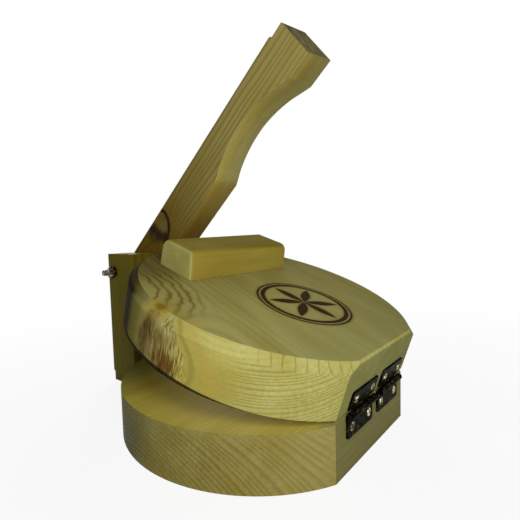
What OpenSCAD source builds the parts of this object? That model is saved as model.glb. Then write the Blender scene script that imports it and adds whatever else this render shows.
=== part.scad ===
// Wooden tortilla press: a round lid hinged to a round base board, pressed down by a lever.
// Millimetres. Origin: centre of the base board on the table. +X is the hinge side, +Z is up.

/* [Boards] */
// Thickness of the base board
base_t = 38.1; // [28:0.1:45]
// Thickness of the lid board
lid_t = 38.1; // [28:0.1:45]
// Diameter of both round boards
disc_d = 238.2; // [226:0.2:250]
// Width of the straight face that carries the hinges, on both boards
flat_w = 113; // [104:0.5:122]
// Width of the straight front of the lid, behind which the lever passes
front_w = 100; // [60:0.5:110]
// Bevel round the top of the lid
lid_bevel = 6; // [2:0.1:9]
// Small bevel along the hinge side of the lid
lid_ease = 1.5; // [0.5:0.1:4]
// Space between the boards when the press is shut
shut_gap = 2; // [0.3:0.1:3]
// Angle at which the lid stands open
lid_open = 18.1; // [6:0.1:20]

/* [Press block] */
// Length of the block across the lid
block_l = 121.7; // [90:0.1:140]
// Width of the block
block_w = 36.1; // [25:0.1:50]
// Height of the block
block_h = 23.8; // [15:0.1:32]
// Distance from the centre of the lid to the middle of the block
block_out = 57.7; // [45:0.1:66]
// How much further the foot of the block's front face stands out than its top
block_lean = 4.2; // [0:0.1:6]
// Sideways offset of the block on the lid
block_shift = -3.1; // [-8:0.1:8]
// Rounding of the upright corners of the block
block_r = 6.5; // [1:0.1:9]
// Bevel along the top of the block
block_bevel = 2.6; // [0.5:0.1:4]

/* [Posts] */
// Width of a post along the press
post_w = 41.3; // [34:0.1:48]
// Thickness of a post
post_t = 28.6; // [20:0.1:36]
// Height of a post above the pivot
post_over = 19.5; // [12:0.1:30]
// How far the pivot lies below the height at which the lever lies level on the shut press
pivot_drop = 1.5; // [0:0.1:4]
// Space between the round base board and the posts
post_gap = 16.6; // [8:0.1:24]
// Depth of the nick at the back of the near post's foot
nick_d = 2.2; // [1:0.1:4]
// Height of that nick
nick_h = 10; // [5:0.5:20]

/* [Lever] */
// Length of the lever
lever_l = 305; // [280:1:330]
// Depth of the lever
lever_d = 38.1; // [34:0.1:42]
// Thickness of the lever, and with its side play the width of the tongue between the posts
lever_t = 28.6; // [22:0.1:36]
// Distance from the lower end of the lever to its pivot
lever_tail = 19; // [14:0.1:26]
// Distance from the upper end of the lever to the scoop
grip_l = 23; // [16:0.5:32]
// Length of the scoop along the lever
scoop_l = 113; // [90:0.5:125]
// Greatest depth of the scoop
scoop_deep = 18.4; // [12:0.1:20]
// Distance from the lower end of the scoop to its deepest point
scoop_low = 50; // [46:0.5:54]
// Length of the straight shoulder at the upper end of the scoop
shoulder_l = 15; // [10:0.5:20]
// Depth of the scoop where the shoulder starts
shoulder_deep = 7.2; // [6:0.1:8]
// Depth of the worn step at the back of the upper end
step_d = 2.3; // [1:0.1:4]
// Length of the worn step
step_l = 14; // [6:0.5:20]

/* [Pivot bolt] */
// Diameter of the bolt
bolt_d = 6.35; // [5:0.05:8]
// Distance from the back of the posts to the bolt
bolt_in = 11; // [10:0.1:20]
// Length of the bolt that stands out of the near post
bolt_out = 12.9; // [8:0.1:20]
// Diameter of the round bolt head
head_d = 15; // [12:0.1:18]
// Height of the round bolt head
head_h = 3.8; // [2.5:0.1:5]
// Length of the square neck under the head
neck_l = 3.5; // [2:0.1:6]
// Width of the nut across its flats
nut_w = 11.1; // [9.5:0.1:13]
// Thickness of the nut
nut_h = 5.6; // [4:0.1:7]

/* [Hinges] */
// Length of a hinge along its pin
hinge_l = 38.1; // [30:0.1:42]
// Distance from the middle of the press to the middle of each hinge
hinge_y = 23.8; // [22:0.1:28]
// Width of a leaf from the pin to its edge
leaf_w = 16; // [14:0.1:20]
// Thickness of a leaf
leaf_t = 1.5; // [1:0.05:2]
// Corner radius of a leaf
leaf_r = 1.2; // [0.3:0.1:2]
// Outer diameter of the knuckles
knuckle_d = 5; // [4.6:0.1:6.4]
// Depth by which the knuckles reach back into the leaf
leaf_bite = 0.6; // [0.4:0.05:1.2]
// Number of knuckles
knuckles = 5; // [3:2:5]
// Diameter of the hinge pin
pin_d = 2.4; // [1.8:0.1:3]
// Distance between the two screws of a leaf
screw_pitch = 25.2; // [18:0.1:27]
// Distance from the pin to the screws
screw_off = 9.4; // [8:0.1:10.5]
// Diameter of a screw head
screw_head = 6; // [4:0.1:7]
// Diameter of a screw shank
screw_d = 2.9; // [2:0.1:3.5]
// Length of a screw under its head
screw_l = 15; // [8:0.5:20]

/* [Clearances] */
// Side play between the lever and each post
side_play = 0.4; // [0.2:0.1:1]
// Radial clearance of the bolt in the lever and the pin in the knuckles
run_fit = 0.06; // [0.02:0.01:0.1]
// Radial clearance of the bolt in the posts
post_fit = 0.2; // [0.1:0.05:0.5]
// Clearance of a screw or a nut in its hole
snug_fit = 0.05; // [0.02:0.01:0.1]
// Gap between knuckles, and between the knuckles and the plates
knuckle_gap = 0.3; // [0.2:0.05:0.5]
// Space by which the swinging lid passes the lever
pass_gap = 0.6; // [0.4:0.1:3]

/* [Hidden] */
$fn = 96;
eps = 0.01;

disc_r = disc_d / 2;
// Straight faces, from the centre of the boards
flat_x = sqrt(pow(disc_r, 2) - pow(flat_w / 2, 2));
front_x = sqrt(pow(disc_r, 2) - pow(front_w / 2, 2));
// Hinge axis, parallel to Y
pin_proud = knuckle_d / 2 + leaf_t - leaf_bite;
pin_x = flat_x + pin_proud;
pin_z = base_t + shut_gap / 2;
// The tongue of the base board and the posts on both sides of it
tongue_w = lever_t + 2 * side_play;
post_x = -(disc_r + post_gap + post_w);
// Pivot: the lever comes to lie nearly level on the block when the press is shut
pivot_x = post_x + bolt_in;
pivot_z = base_t + shut_gap + lid_t + block_h + lever_d / 2 - pivot_drop;
post_h = pivot_z + post_over;
stack_w = tongue_w + 2 * post_t;
// The lever leans back just far enough for the rim of the lid to swing past it
rim_r = norm([pin_x + front_x, shut_gap / 2 + lid_t - lid_bevel]);
reach = norm([pin_x - pivot_x, pivot_z - pin_z]);
lever_angle = asin((rim_r + pass_gap + lever_d / 2) / reach) - atan2(pivot_z - pin_z, pin_x - pivot_x);

// ---------- Placing ----------

// Puts a profile drawn in X and Z across the press, w wide, centred on Y = 0
module across(w) {
    translate([0, w / 2, 0]) rotate([90, 0, 0]) linear_extrude(w) children();
}

// Puts a profile drawn in Y and Z on a face that looks toward +X
module facing(x, t) {
    translate([x, 0, 0]) rotate([90, 0, 90]) linear_extrude(t) children();
}

// Turns what belongs to the lid from shut to where it stands
module open_lid() {
    translate([pin_x, 0, pin_z]) rotate([0, lid_open, 0]) translate([-pin_x, 0, -pin_z]) children();
}

// A round bar along Y from y to y + l
module bar_y(x, y, z, d, l) {
    translate([x, y + l, z]) rotate([90, 0, 0]) cylinder(d = d, h = l);
}

// ---------- Boards ----------

// Holes for the screws of both hinges, on the side of the pin that dir gives
module screw_holes(dir) {
    for (side = [-1, 1], end = [-1, 1])
        translate([flat_x - screw_l - 1, side * hinge_y + end * screw_pitch / 2, pin_z + dir * screw_off])
            rotate([0, 90, 0]) cylinder(d = screw_d + 2 * snug_fit, h = screw_l + 2, $fn = 32);
}

module base_board() {
    color("burlywood") difference() {
        linear_extrude(base_t) union() {
            intersection() {
                circle(r = disc_r, $fn = 180);
                translate([-disc_r, -disc_r]) square([disc_r + flat_x, disc_d]);
            }
            // Tongue between the posts
            translate([post_x, -tongue_w / 2]) square([disc_r + post_gap + post_w - disc_r / 2, tongue_w]);
        }
        screw_holes(-1);
    }
}

// Side view of the lid, shut: straight front, straight hinge face, bevels along the top
module lid_side() {
    z0 = base_t + shut_gap;
    polygon([[-front_x, z0], [flat_x, z0], [flat_x, z0 + lid_t - lid_ease],
        [flat_x - lid_ease, z0 + lid_t], [-front_x + lid_bevel, z0 + lid_t],
        [-front_x, z0 + lid_t - lid_bevel]]);
}

module lid_board() {
    color("wheat") open_lid() difference() {
        intersection() {
            translate([0, 0, base_t + shut_gap]) rotate_extrude($fn = 180)
                polygon([[0, 0], [disc_r, 0], [disc_r, lid_t - lid_bevel],
                    [disc_r - lid_bevel, lid_t], [0, lid_t]]);
            across(disc_d + 2) lid_side();
        }
        screw_holes(1);
    }
}

// ---------- Block ----------

// Plan of the block with rounded corners, w wide, its middle at the origin
module block_plan(w) {
    r = block_r;
    union() {
        square([w - 2 * r, block_l], center = true);
        square([w, block_l - 2 * r], center = true);
        for (sx = [-1, 1], sy = [-1, 1])
            translate([sx * (w / 2 - r), sy * (block_l / 2 - r)]) circle(r = r, $fn = 48);
    }
}

// Shapes that the bevelled top leaves along one pair of sides, the right one leaning by foot
module block_sides(w, l, foot) {
    translate([0, -l / 2, 0]) rotate([-90, 0, 0]) linear_extrude(l)
        polygon([[-w / 2, 1], [w / 2 + foot * (1 + 1 / block_h), 1],
            [w / 2 + foot * block_bevel / block_h, -(block_h - block_bevel)],
            [w / 2 - block_bevel, -block_h], [-w / 2 + block_bevel, -block_h],
            [-w / 2, -(block_h - block_bevel)]]);
}

module press_block() {
    color("tan") open_lid() translate([-block_out, block_shift, base_t + shut_gap + lid_t])
        intersection() {
            // Upright at the back
            translate([block_w / 2, 0, 0]) linear_extrude(block_h) block_plan(2 * block_w);
            // Leaning at the front
            translate([block_w / 2 + block_lean, 0, 0]) rotate([0, -atan(block_lean / block_h), 0])
                translate([-block_w, 0, -block_h]) linear_extrude(3 * block_h) block_plan(2 * block_w);
            block_sides(block_w, block_l + 2, block_lean);
            rotate([0, 0, 90]) block_sides(block_l, 2 * block_w + 2, 0);
        }
}

// ---------- Posts and lever ----------

module post(y) {
    difference() {
        translate([post_x, y, 0]) cube([post_w, post_t, post_h]);
        bar_y(pivot_x, y - 1, pivot_z, bolt_d + 2 * post_fit, post_t + 2);
    }
}

module near_post() {
    color("peru") difference() {
        post(-stack_w / 2);
        translate([post_x - 1, -stack_w / 2 - 1, -1]) cube([nick_d + 1, post_t + 2, nick_h + 1]);
    }
}

module far_post() {
    color("peru") difference() {
        post(tongue_w / 2);
        // Seat of the square neck of the bolt
        translate([pivot_x, stack_w / 2 - neck_l / 2 + 0.5, pivot_z])
            cube([bolt_d + 2 * post_fit, neck_l + 1 + 2 * post_fit, bolt_d + 2 * post_fit], center = true);
    }
}

// Outline of the lever along its length, with the pivot at the origin and the press below it
module lever_side() {
    top = lever_l - lever_tail;
    half = lever_d / 2;
    low = top - grip_l - scoop_l;
    mid = low + scoop_low;
    // The scoop: a round sweep up to a straight run that meets the shoulder
    sweep_r = (pow(scoop_low, 2) + pow(scoop_deep, 2)) / (2 * scoop_deep);
    centre = [mid, -half - sweep_r + scoop_deep];
    knee = [top - grip_l - shoulder_l, -half + shoulder_deep];
    arm = knee - centre;
    turn = atan2(arm[1], arm[0]) + acos(sweep_r / norm(arm));
    touch = centre + sweep_r * [cos(turn), sin(turn)];
    difference() {
        polygon([[-lever_tail, -half], [top, -half], [top, half - step_d],
            [top - step_l, half - step_d], [top - step_l - step_d / 2, half], [-lever_tail, half]]);
        // Both cuts meet along the spoke from the centre of the sweep to where the straight run starts
        intersection() {
            translate(centre) circle(r = sweep_r, $fn = 180);
            polygon([centre, for (a = [0, 45, 90]) centre + 2 * sweep_r * [cos(turn + a), sin(turn + a)]]);
        }
        polygon([centre, touch, knee, [top - grip_l, -half], [top - grip_l, -half - 1]]);
    }
}

module lever() {
    color("goldenrod") translate([pivot_x, 0, pivot_z]) rotate([0, -lever_angle, 0])
        difference() {
            across(lever_t) lever_side();
            bar_y(0, -lever_t, 0, bolt_d + 2 * run_fit, 2 * lever_t);
        }
}

// ---------- Pivot bolt ----------

module pivot_bolt() {
    dome_r = (pow(head_d / 2, 2) + pow(head_h, 2)) / (2 * head_h);
    color("silver") translate([pivot_x, 0, pivot_z]) union() {
        bar_y(0, -stack_w / 2 - bolt_out + bolt_d / 10, 0, bolt_d, stack_w + bolt_out - bolt_d / 10);
        // Blunt tip
        translate([0, -stack_w / 2 - bolt_out + bolt_d / 10, 0]) rotate([90, 0, 0])
            cylinder(d1 = bolt_d, d2 = 0.8 * bolt_d, h = bolt_d / 10);
        translate([0, stack_w / 2 - neck_l / 2, 0]) cube([bolt_d, neck_l, bolt_d], center = true);
        intersection() {
            translate([0, stack_w / 2 + head_h - dome_r, 0]) sphere(r = dome_r);
            bar_y(0, stack_w / 2, 0, head_d + 2, head_h + 1);
        }
    }
}

module pivot_nut() {
    flats_r = nut_w / 2;
    color("gainsboro") translate([pivot_x, -stack_w / 2, pivot_z]) rotate([90, 0, 0]) difference() {
        intersection() {
            rotate([0, 0, 30]) cylinder(r = flats_r / cos(30), h = nut_h, $fn = 6);
            // Rounded-off corners of the outer face
            rotate_extrude() polygon([[0, 0], [flats_r * 1.2, 0], [flats_r * 1.2, nut_h - 0.14 * flats_r],
                [flats_r, nut_h], [0, nut_h]]);
        }
        translate([0, 0, -1]) cylinder(d = bolt_d + 2 * snug_fit, h = nut_h + 2);
    }
}

// ---------- Hinges ----------

// One leaf with its own knuckles. dir is 1 for the lid's leaf and -1 for the base's leaf.
module leaf(y, dir) {
    step = (hinge_l + knuckle_gap) / knuckles;
    edge = knuckle_d / 2 + knuckle_gap + 0.1;
    plate_h = leaf_w - edge;
    mine = dir > 0 ? [1:2:knuckles - 1] : [0:2:knuckles - 1];
    difference() {
        union() {
            facing(flat_x, leaf_t) translate([y, pin_z]) union() {
                // Plate with rounded outer corners
                translate([-hinge_l / 2, dir > 0 ? edge : -leaf_w + leaf_r]) square([hinge_l, plate_h - leaf_r]);
                translate([-hinge_l / 2 + leaf_r, dir > 0 ? edge : -leaf_w]) square([hinge_l - 2 * leaf_r, plate_h]);
                for (end = [-1, 1]) translate([end * (hinge_l / 2 - leaf_r), dir * (leaf_w - leaf_r)])
                    circle(r = leaf_r, $fn = 24);
                // Tongues that run under the knuckles
                for (i = mine) translate([-hinge_l / 2 + i * step, dir > 0 ? 0.6 : -edge - 1])
                    square([step - knuckle_gap, edge + 0.4]);
            }
            for (i = mine)
                bar_y(pin_x, y - hinge_l / 2 + i * step, pin_z, knuckle_d, step - knuckle_gap);
        }
        bar_y(pin_x, y - hinge_l, pin_z, pin_d + 2 * run_fit, 2 * hinge_l);
        for (end = [-1, 1]) screw_at(y, end, dir) cylinder(d1 = screw_d + 2 * snug_fit,
            d2 = screw_head + 2 * snug_fit, h = leaf_t + eps);
    }
}

// Brings a screw drawn along Z, with its head in the leaf, to its place
module screw_at(y, end, dir) {
    translate([flat_x, y + end * screw_pitch / 2, pin_z + dir * screw_off]) rotate([0, 90, 0]) children();
}

// The two screws of a leaf
module leaf_screws(y, dir) {
    for (end = [-1, 1]) screw_at(y, end, dir) difference() {
        union() {
            cylinder(d1 = screw_d, d2 = screw_head, h = leaf_t, $fn = 48);
            translate([0, 0, 2 - screw_l]) cylinder(d = screw_d, h = screw_l - 2 + eps, $fn = 32);
            translate([0, 0, -screw_l]) cylinder(d1 = 0.2 * screw_d, d2 = screw_d, h = 2 + eps, $fn = 32);
        }
        // Cross recess
        for (a = [0, 90]) rotate([0, 0, a + end * 17])
            translate([-0.3 * screw_head, -0.35, 0.45 * leaf_t]) cube([0.6 * screw_head, 0.7, leaf_t]);
    }
}

module hinge_pin(y) {
    bar_y(pin_x, y - hinge_l / 2 - 0.3, pin_z, pin_d, hinge_l + 0.6);
}

module near_hinge_base_leaf() {
    color("dimgray") leaf(-hinge_y, -1);
}
module near_hinge_lid_leaf() {
    color("dimgray") open_lid() leaf(-hinge_y, 1);
}
module near_hinge_pin() {
    color("gray") hinge_pin(-hinge_y);
}
module near_hinge_base_screws() {
    color("gold") leaf_screws(-hinge_y, -1);
}
module near_hinge_lid_screws() {
    color("gold") open_lid() leaf_screws(-hinge_y, 1);
}
module far_hinge_base_leaf() {
    color("dimgray") leaf(hinge_y, -1);
}
module far_hinge_lid_leaf() {
    color("dimgray") open_lid() leaf(hinge_y, 1);
}
module far_hinge_pin() {
    color("gray") hinge_pin(hinge_y);
}
module far_hinge_base_screws() {
    color("gold") leaf_screws(hinge_y, -1);
}
module far_hinge_lid_screws() {
    color("gold") open_lid() leaf_screws(hinge_y, 1);
}

base_board();
near_post();
far_post();
lid_board();
press_block();
lever();
pivot_bolt();
pivot_nut();
near_hinge_base_leaf();
near_hinge_lid_leaf();
near_hinge_pin();
near_hinge_base_screws();
near_hinge_lid_screws();
far_hinge_base_leaf();
far_hinge_lid_leaf();
far_hinge_pin();
far_hinge_base_screws();
far_hinge_lid_screws();
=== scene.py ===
# %% [markdown]
# # A wooden tortilla press
# The press is made of thick pine boards: a round base, a round lid on two small
# hinges, a block that takes the push, two posts and a lever between them. The
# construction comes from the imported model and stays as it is. This lesson gives
# every piece its surface, adds the small forms that a maker would see up close,
# and sets the light and the camera.

# %% Load the frame
import math

import bmesh
import bpy
from mathutils import Matrix, Vector


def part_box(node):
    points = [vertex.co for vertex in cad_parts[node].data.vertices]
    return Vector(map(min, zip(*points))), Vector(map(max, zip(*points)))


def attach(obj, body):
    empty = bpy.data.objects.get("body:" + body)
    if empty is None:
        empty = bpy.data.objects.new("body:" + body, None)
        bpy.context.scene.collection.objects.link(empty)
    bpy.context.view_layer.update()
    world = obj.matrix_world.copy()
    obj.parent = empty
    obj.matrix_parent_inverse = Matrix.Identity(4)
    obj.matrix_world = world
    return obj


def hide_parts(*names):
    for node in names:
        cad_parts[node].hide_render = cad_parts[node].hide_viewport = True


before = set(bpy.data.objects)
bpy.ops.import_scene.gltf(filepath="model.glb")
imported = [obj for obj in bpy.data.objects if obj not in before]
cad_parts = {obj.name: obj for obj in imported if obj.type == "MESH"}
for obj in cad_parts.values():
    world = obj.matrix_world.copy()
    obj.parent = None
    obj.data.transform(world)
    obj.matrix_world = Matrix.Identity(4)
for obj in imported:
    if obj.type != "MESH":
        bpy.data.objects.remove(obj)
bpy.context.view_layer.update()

# %% [markdown]
# ## Real sizes first
# Every pattern below is scaled from a size that a ruler could check. The lid is
# drawn shut and then turned about the hinge pin, so its grain, its burnt mark and
# its torn knot are placed in the shut position, where they are easy to think of.

# %% Sizes of the press in metres
MM = 0.001
PIN = Vector((0.1082454, 0.0, 0.0391))
LID_OPEN = math.radians(18.1)
OPEN = Matrix.Translation(PIN) @ Matrix.Rotation(LID_OPEN, 4, "Y") @ Matrix.Translation(-PIN)
LID_TOP = Vector((0.0, 0.0, 0.0782))
LID_MIDDLE = OPEN @ LID_TOP
LID_UP = OPEN.to_3x3() @ Vector((0, 0, 1))
LEVER_PIN = Vector((-0.166, 0.0, 0.11955))
print("lid top centre stands at", [round(x, 4) for x in LID_MIDDLE])

# %% [markdown]
# ## Four helpers for materials
# Colours are written as sRGB hex, as a paint card gives them, and one function
# turns them to the linear numbers that the renderer works in. The second sets
# inputs, or links them. The third adds a node with its settings, its inputs and
# its colour stops, and gives back what comes out of it, so that a material reads
# as a list of steps. The last starts a material.

# %% Colour and node helpers
def paint(code):
    """An sRGB hex colour as linear red, green, blue and alpha."""
    parts = [int(code[i : i + 2], 16) / 255 for i in (1, 3, 5)]
    return (*(p / 12.92 if p <= 0.04045 else ((p + 0.055) / 1.055) ** 2.4 for p in parts), 1.0)


def fill(tree, node, values):
    """Sets the inputs of a node, and links those whose value comes out of another node."""
    for socket, value in values.items():
        if isinstance(value, bpy.types.NodeSocket):
            tree.links.new(value, node.inputs[socket])
        else:
            node.inputs[socket].default_value = value


def add(tree, kind, *inputs, stops=(), **named):
    """Adds a node. Inputs come in order or by name, with a capital. A name without one is a setting."""
    made = tree.nodes.new("ShaderNode" + kind)
    for name in [name for name in named if name.islower()]:
        setattr(made, name, named.pop(name))
    in_use = [i for i, socket in enumerate(made.inputs) if socket.enabled]
    fill(tree, made, {**dict(zip(in_use, inputs)), **named})
    if stops:
        ramp = made.color_ramp.elements
        while len(ramp) < len(stops):
            ramp.new(0.5)
        for element, (place, colour) in zip(ramp, stops):
            element.position = place
            element.color = paint(colour) if isinstance(colour, str) else (colour,) * 3 + (1.0,)
    return next(socket for socket in made.outputs if socket.enabled)


def new_material(name):
    """An empty material, its node tree and the coordinates that patterns start from."""
    material = bpy.data.materials.new(name)
    material.use_nodes = True
    return material, material.node_tree, add(material.node_tree, "TexCoord").node.outputs


print("pine in linear light:", [round(x, 3) for x in paint("#c4b873")])

# %% [markdown]
# ## Masks
# Wear, dirt and stains have no hard edge. A mask is a number from 0 to 1 that
# says how much of one colour lies over another. The first helper narrows a mask
# by smooth limits, each from where it is nothing to where it is full. The second
# measures how far a place is from a centre, after each axis is scaled, so that a
# round spot can also be long or flat.

# %% Mask helpers
SOFT = {"interpolation_type": "SMOOTHSTEP"}
TINT = {"data_type": "RGBA", "blend_type": "MULTIPLY"}
COVER = {"data_type": "RGBA"}


def narrow(tree, mask, *limits, **blend):
    """Multiplies a mask by limits: a value, where the mask is nothing, and where it is full."""
    for value, nothing, full in limits:
        limit = add(tree, "MapRange", value, nothing, full, **blend)
        mask = add(tree, "Math", mask, limit, operation="MULTIPLY")
    return mask


def distance(tree, place, centre, scale):
    """How far a place is from a centre when each axis is scaled."""
    away = add(tree, "VectorMath", place, centre, operation="SUBTRACT")
    away = add(tree, "VectorMath", away, scale, operation="MULTIPLY")
    return add(tree, "VectorMath", away, operation="LENGTH")


print("soft limits use", SOFT["interpolation_type"].lower())

# %% [markdown]
# ## Sanded pine
# Pine shows its yearly rings: pale, wide early wood that darkens slowly to a
# narrow band of late wood and then stops short. A board is a straight cut through
# a trunk, so the rings are drawn as what they are, tubes around the pith. Where
# the cut runs along the trunk the tubes show as long lines, and where it runs
# across they show as arcs. One rule gives both, and they meet at every edge.
# A picture of grain could not do that.
# - a branch pulls the rings along with it, so each knot adds to the radius;
# - slow noise lets the rings wander, and makes some years wide and some narrow;
# - where a board was handled most, its rings are sanded faint.

# %% The rings of a pine board
FADE = 0.36788  # 1 / e, raised to a squared distance, falls off softly


def pine(name, origin, fibre, face, pith, ring, early, late, knots=(), faint=(), bands=0.7, wander=3.0,
        tighten=0.0):
    """Sanded pine, uncoated. Places are in millimetres: along the fibre, across, and out of the face."""
    material, tree, place = new_material(name)
    fibre, face = Vector(fibre).normalized(), Vector(face)
    side = face.cross(fibre).normalized()
    face = fibre.cross(side)
    turn = Matrix((fibre, side, face)).transposed().to_euler()
    board = add(tree, "Mapping", place["Object"], Location=origin, Rotation=turn, Scale=(MM, MM, MM),
        vector_type="TEXTURE")
    # Rings wander slowly: about a hand's width along the fibre, a thumb's width across
    slow = add(tree, "VectorMath", board, (1 / 130, 1 / 45, 1 / 45), operation="MULTIPLY")
    drift, drift_colour = add(tree, "TexNoise", slow, Scale=1.0, Detail=1.5).node.outputs
    shift = add(tree, "VectorMath", drift_colour, (0, wander, wander), (0, -wander / 2, -wander / 2),
        operation="MULTIPLY_ADD")
    bent = add(tree, "VectorMath", board, shift, operation="ADD")
    spoke = add(tree, "VectorMath", bent, (0, 1, 1), (0, -pith[0], -pith[1]), operation="MULTIPLY_ADD")
    radius = add(tree, "VectorMath", spoke, operation="LENGTH")
    for centre, scale, pull in knots:
        reach = distance(tree, board, centre, scale)
        squared = add(tree, "Math", reach, reach, operation="MULTIPLY")
        near_knot = add(tree, "Math", FADE, squared, operation="POWER")
        radius = add(tree, "Math", near_knot, pull, radius, operation="MULTIPLY_ADD")
    # Two or three wide years follow two or three narrow ones
    era = add(tree, "Math", radius, 1 / (2.6 * ring), operation="MULTIPLY")
    years = add(tree, "TexNoise", era, Scale=1.0, Detail=0.0, noise_dimensions="1D")
    tight = add(tree, "Math", radius, tighten, 1 / ring, operation="MULTIPLY_ADD")
    count = add(tree, "Math", radius, tight, operation="MULTIPLY")
    uneven = add(tree, "Math", years, 1.0, count, operation="MULTIPLY_ADD")
    year = add(tree, "Math", uneven, operation="FRACT")
    # One year: early wood, its slow change, the late band and a short stop
    band = add(tree, "ValToRGB", year,
        stops=[(0.0, 0.3), (0.1, 0.0), (0.45, 0.06), (0.72, 0.6), (0.86, 1.0), (1.0, 0.45)])
    # Some years are strong and some faint, and handling has worn them further
    strong = add(tree, "MapRange", drift, 0.32, 0.68, bands * 0.6, bands)
    for centre, scale, loss in faint:
        reach = distance(tree, board, centre, scale)
        squared = add(tree, "Math", reach, reach, operation="MULTIPLY")
        worn = add(tree, "Math", FADE, squared, operation="POWER")
        kept = add(tree, "Math", worn, -loss, 1.0, operation="MULTIPLY_ADD")
        strong = add(tree, "Math", strong, kept, operation="MULTIPLY")
    ringed = add(tree, "Math", band, strong, operation="MULTIPLY")
    colour = add(tree, "Mix", ringed, paint(early), paint(late), **COVER)
    return {"material": material, "tree": tree, "place": place["Object"], "normal": place["Normal"],
        "board": board, "fibre": fibre, "ringed": ringed, "colour": colour, "tints": [], "marks": [],
        "height": []}


print("pine is a rule that any board can use")

# %% [markdown]
# ## Fibres, patches and end grain
# Up close, pine is streaked along the fibre at about a millimetre, and whole
# patches run warmer or paler. Across the fibre the open ends drink in the light,
# so end grain is darker and duller. The sanding leaves the late wood a hair
# higher than the softer early wood. Bare wood is dull: its roughness lies between
# 0.5 and 0.9, and it mirrors almost nothing.

# %% Finishing a pine board
def finish_pine(wood, tint="#e2d9b2", end="#efe8cc", relief=1.0, rough=0.6, streaks=0.5, clouds=0.6):
    """Adds fibres, patches, end grain, roughness and relief, and links them to the shader."""
    tree, board = wood["tree"], wood["board"]
    facing = add(tree, "VectorMath", wood["normal"], wood["fibre"], operation="DOT_PRODUCT")
    facing = add(tree, "Math", facing, operation="ABSOLUTE")
    cut = add(tree, "MapRange", facing, 0.4, 0.95, **SOFT)
    along = add(tree, "Math", 1.0, cut, operation="SUBTRACT")
    # A fibre is 45 mm long and 1.1 mm wide, a patch is 150 mm by 30 mm
    thin = add(tree, "VectorMath", board, (1 / 45, 1 / 1.1, 1 / 1.1), operation="MULTIPLY")
    fibres = add(tree, "TexNoise", thin, Scale=1.0, Detail=3.0)
    wide = add(tree, "VectorMath", board, (1 / 150, 1 / 30, 1 / 30), operation="MULTIPLY")
    patches = add(tree, "TexNoise", wide, Scale=1.3, Detail=2.0)
    pores = add(tree, "TexNoise", board, Scale=0.5, Detail=3.0)
    streak = add(tree, "ValToRGB", fibres, stops=[(0.3, "#dfd9c2"), (0.68, "#ffffff")])
    patch = add(tree, "ValToRGB", patches, stops=[(0.34, tint), (0.62, "#ffffff")])
    dull = add(tree, "ValToRGB", pores, stops=[(0.35, end), (0.66, "#ffffff")])
    streaked = add(tree, "Math", along, streaks, operation="MULTIPLY")
    colour = wood["colour"]
    tints = [(streaked, streak), (clouds, patch), (cut, dull), *wood["tints"]]
    for layers, way in [(tints, TINT), (wood["marks"], COVER)]:
        for mask, shade in layers:
            shade = paint(shade) if isinstance(shade, str) else shade
            colour = add(tree, "Mix", mask, colour, shade, **way)
    gloss = add(tree, "Math", fibres, -0.22, rough + 0.11, operation="MULTIPLY_ADD")
    fuzz = add(tree, "Math", fibres, along, operation="MULTIPLY")
    fuzz = add(tree, "Math", fuzz, 0.5 * relief, operation="MULTIPLY")
    height = add(tree, "Math", wood["ringed"], 0.35 * relief, fuzz, operation="MULTIPLY_ADD")
    for other in wood["height"]:
        height = add(tree, "Math", height, other, operation="ADD")
    bump = add(tree, "Bump", Height=height, Distance=0.1 * MM, Strength=0.9)
    fill(tree, tree.nodes["Principled BSDF"], {"Base Color": colour, "Roughness": gloss, "Normal": bump,
        "IOR": 1.5, "Specular IOR Level": 0.05})
    return wood["material"]


def dress(node, material):
    """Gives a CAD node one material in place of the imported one."""
    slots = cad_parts[node].data.materials
    slots.clear()
    slots.append(material)


print("a board gets its fibres last, over its rings")

# %% [markdown]
# ## Softened edges
# Sandpaper takes the sharpness off every edge of the real press. The packed
# meshes keep their shape: modifiers merge their flat triangles, round the edges
# by less than a millimetre and let the large faces decide the shading. Modelling
# the boards again would give the same look for more work.

# %% Modifiers for the wooden nodes
def sand(piece, width):
    """Rounds the edges of a piece by so many millimetres without touching its mesh."""
    flat = piece.modifiers.new("merge flats", "DECIMATE")
    flat.decimate_type, flat.angle_limit = "DISSOLVE", math.radians(0.6)
    soft = piece.modifiers.new("sanded edges", "BEVEL")
    soft.width, soft.segments = width * MM, 2
    soft.limit_method, soft.angle_limit = "ANGLE", math.radians(24)
    soft.use_clamp_overlap = True
    even = piece.modifiers.new("even shading", "WEIGHTED_NORMAL")
    even.weight, even.keep_sharp = 60, False


for node, width in [("base_board", 0.9), ("lid_board", 0.7), ("near_post", 0.7), ("far_post", 0.7)]:
    sand(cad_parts[node], width)
    print(node, "edges softened by", width, "mm")
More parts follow.
